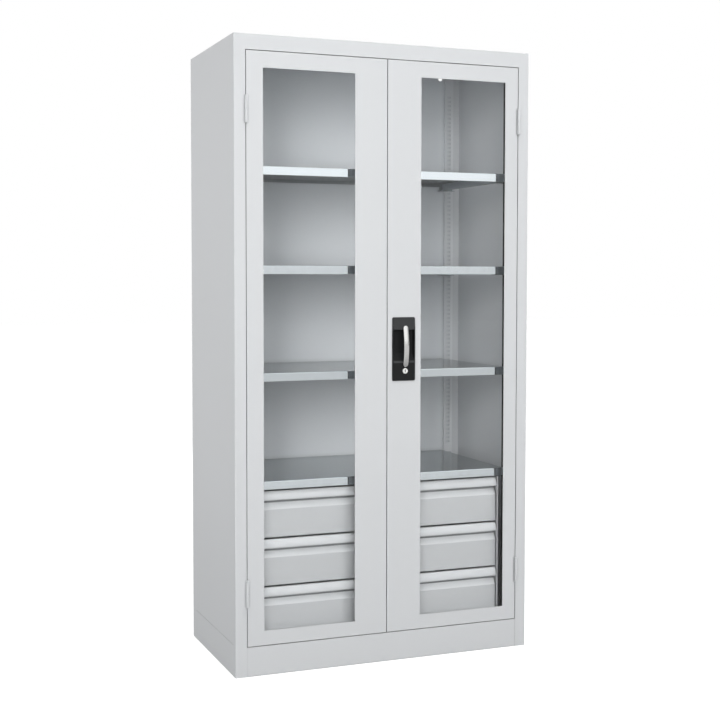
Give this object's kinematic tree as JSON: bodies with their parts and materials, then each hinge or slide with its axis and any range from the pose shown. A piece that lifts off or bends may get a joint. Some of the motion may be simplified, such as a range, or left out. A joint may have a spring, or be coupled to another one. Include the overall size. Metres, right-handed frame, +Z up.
{
  "type": "storage cabinet",
  "caption": "Tall steel storage cabinet with windowed doors, galvanised shelves above inner drawers, barrel hinges and a recessed swing-lever rod lock.",
  "frame": {"origin": "middle of the footprint on the floor, under the case without its handle", "axes": "+X towards the lock door's hinges, +Y from the doors towards the back, +Z up"},
  "size_m": [1, 0.52, 1.95],
  "materials": {
    "case_paint": "light grey powder coat, fine texture",
    "galvanised": "galvanised sheet",
    "clear_pane": "clear acrylic, polished",
    "black_moulding": "fine matt grain",
    "bright_metal": "satin nickel",
    "plain_steel": "zinc plated",
    "glide_plastic": "moulded"
  },
  "bodies": {
    "cabinet": {"left_side_panel": "case_paint", "right_side_panel": "case_paint", "back_panel": "case_paint", "top_panel": "case_paint", "bottom_panel": "case_paint", "plinth_front": "case_paint", "floor_glides": "glide_plastic", "left_rear_upright": "case_paint", "right_rear_upright": "case_paint", "left_front_upright": "case_paint", "right_front_upright": "case_paint", "shelf_1": "galvanised", "shelf_2": "galvanised", "shelf_3": "galvanised", "shelf_4": "galvanised", "shelf_clips": "plain_steel", "drawer_case_left": "case_paint", "drawer_case_right": "case_paint", "drawer_case_back": "case_paint", "fixed_runners": "plain_steel", "left_frame_knuckles": "case_paint", "right_frame_knuckles": "case_paint", "left_hinge_pins": "plain_steel", "right_hinge_pins": "plain_steel", "rod_keepers": "plain_steel"},
    "left_door": {"left_door": "case_paint", "left_pane": "clear_pane", "left_pane_frame": "case_paint", "meeting_strip": "case_paint", "left_door_knuckles": "case_paint"},
    "right_door": {"right_door": "case_paint", "right_pane": "clear_pane", "right_pane_frame": "case_paint", "right_door_knuckles": "case_paint", "handle_plate": "black_moulding", "lock_case": "plain_steel", "lock_case_screws": "plain_steel", "rod_guides": "black_moulding"},
    "lever": {"bow_grip": "bright_metal", "spindle": "plain_steel", "cam_disc": "plain_steel"},
    "upper_rod": {"upper_rod": "plain_steel"},
    "lower_rod": {"lower_rod": "plain_steel"},
    "cylinder": {"lock_cylinder": "bright_metal", "lock_tongue": "plain_steel"},
    "drawer_1": {"drawer_1_front": "case_paint", "drawer_1_tray": "case_paint", "drawer_1_slides": "plain_steel"},
    "drawer_2": {"drawer_2_front": "case_paint", "drawer_2_tray": "case_paint", "drawer_2_slides": "plain_steel"},
    "drawer_3": {"drawer_3_front": "case_paint", "drawer_3_tray": "case_paint", "drawer_3_slides": "plain_steel"}
  },
  "joints": [
    {"name": "right_door_hinge", "type": "hinge", "parent": "cabinet", "child": "right_door", "pos_m": [0.4625, -0.256, 0.993], "axis": [0, 0, 1], "range_deg": [0, 180]},
    {"name": "left_door_hinge", "type": "hinge", "parent": "cabinet", "child": "left_door", "pos_m": [-0.4625, -0.256, 0.993], "axis": [0, 0, -1], "range_deg": [0, 170]},
    {"name": "lever_turn", "type": "hinge", "parent": "right_door", "child": "lever", "pos_m": [0.0605, -0.254, 1.0618], "axis": [0, -1, 0], "range_deg": [0, 90]},
    {"name": "upper_rod_slide", "type": "slide", "parent": "right_door", "child": "upper_rod", "axis": [0, 0, 1], "range_m": [0, 0.017]},
    {"name": "lower_rod_slide", "type": "slide", "parent": "right_door", "child": "lower_rod", "axis": [0, 0, -1], "range_m": [0, 0.017]},
    {"name": "cylinder_turn", "type": "hinge", "parent": "right_door", "child": "cylinder", "pos_m": [0.0605, -0.25, 0.9268], "axis": [0, -1, 0], "range_deg": [0, 90]},
    {"name": "drawer_1_slide", "type": "slide", "parent": "cabinet", "child": "drawer_1", "axis": [0, -1, 0], "range_m": [0, 0.19]},
    {"name": "drawer_2_slide", "type": "slide", "parent": "cabinet", "child": "drawer_2", "axis": [0, -1, 0], "range_m": [0, 0.19]},
    {"name": "drawer_3_slide", "type": "slide", "parent": "cabinet", "child": "drawer_3", "axis": [0, -1, 0], "range_m": [0, 0.19]}
  ],
  "couplings": [
    {"joint": "left_door_hinge", "follows": "right_door_hinge", "ratio": 0.944},
    {"joint": "upper_rod_slide", "follows": "lever_turn", "m_per_rad": 0.0108},
    {"joint": "lower_rod_slide", "follows": "lever_turn", "m_per_rad": 0.0108},
    {"joint": "drawer_1_slide", "follows": "right_door_hinge", "m_per_rad": 0.06},
    {"joint": "drawer_2_slide", "follows": "right_door_hinge", "m_per_rad": 0.06},
    {"joint": "drawer_3_slide", "follows": "right_door_hinge", "m_per_rad": 0.06}
  ]
}
